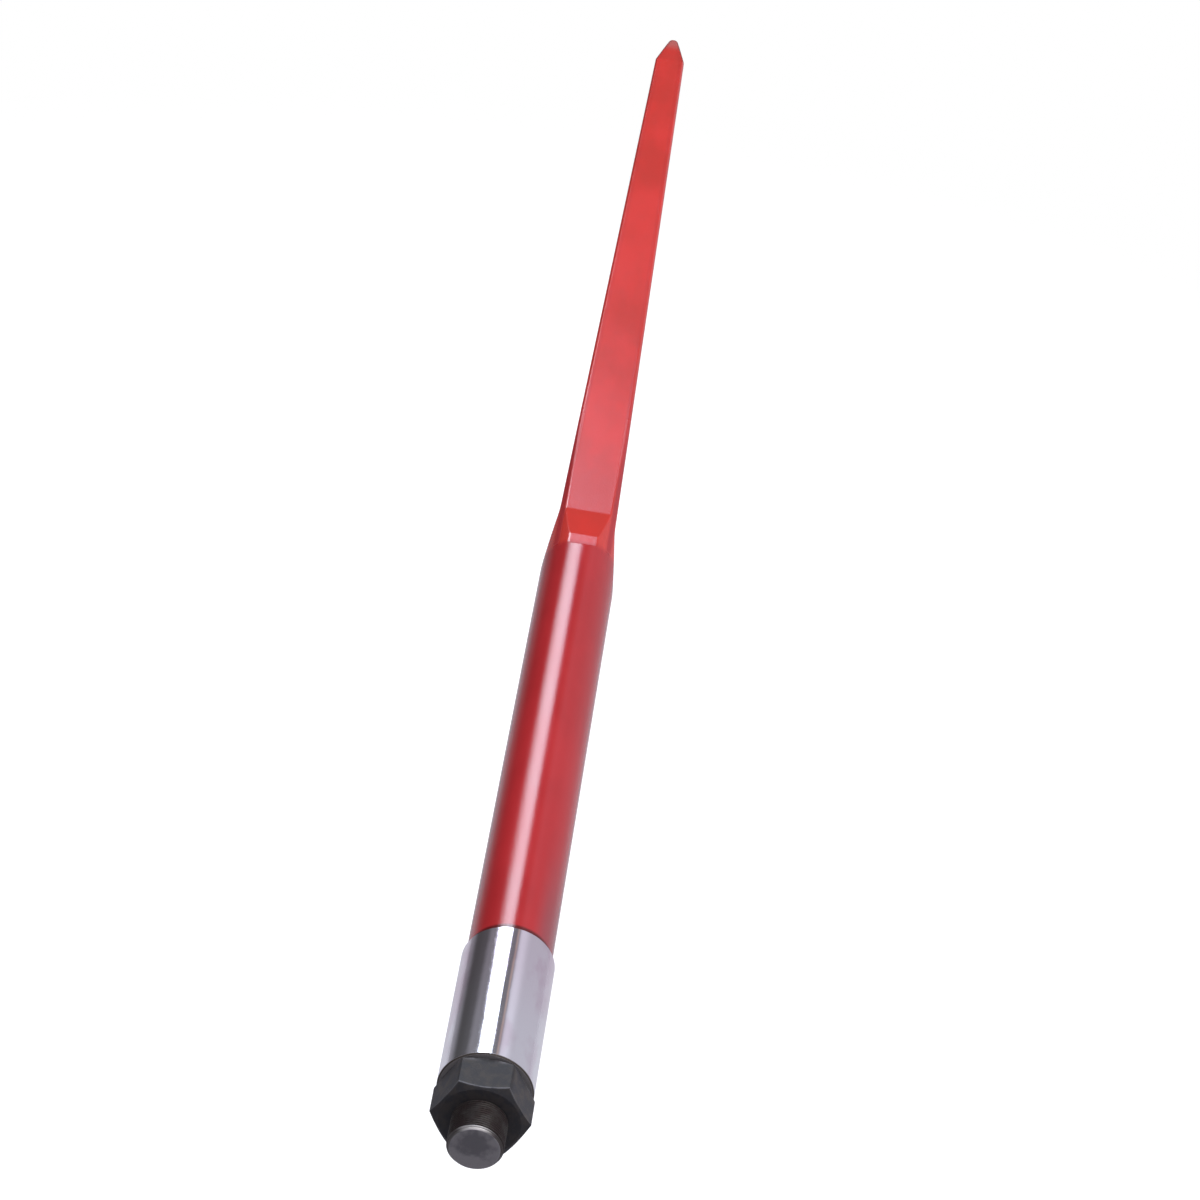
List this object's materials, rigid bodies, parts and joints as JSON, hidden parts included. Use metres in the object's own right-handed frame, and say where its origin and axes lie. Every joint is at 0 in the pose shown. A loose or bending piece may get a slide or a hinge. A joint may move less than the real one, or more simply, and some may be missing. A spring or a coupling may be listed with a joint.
{
  "type": "bale spear",
  "caption": "Forged bale spear: round shank, tapered square blade and short point, drawn by a hexagon nut into a conical weld-in sleeve.",
  "frame": {"origin": "on the spear's axis, half way along the weld-in sleeve", "axes": "+X along the spear towards its point, +Z square to one pair of the blade's flats"},
  "size_m": [1.2465, 0.0496, 0.048],
  "materials": {
    "red_paint": "gloss red enamel over forged steel",
    "bright_steel": "fine turned and polished, bare",
    "black_steel": "black oxide, oiled"
  },
  "bodies": {
    "root": {"spear": "red_paint", "sleeve": "bright_steel", "hex_nut": "black_steel"}
  },
  "joints": []
}
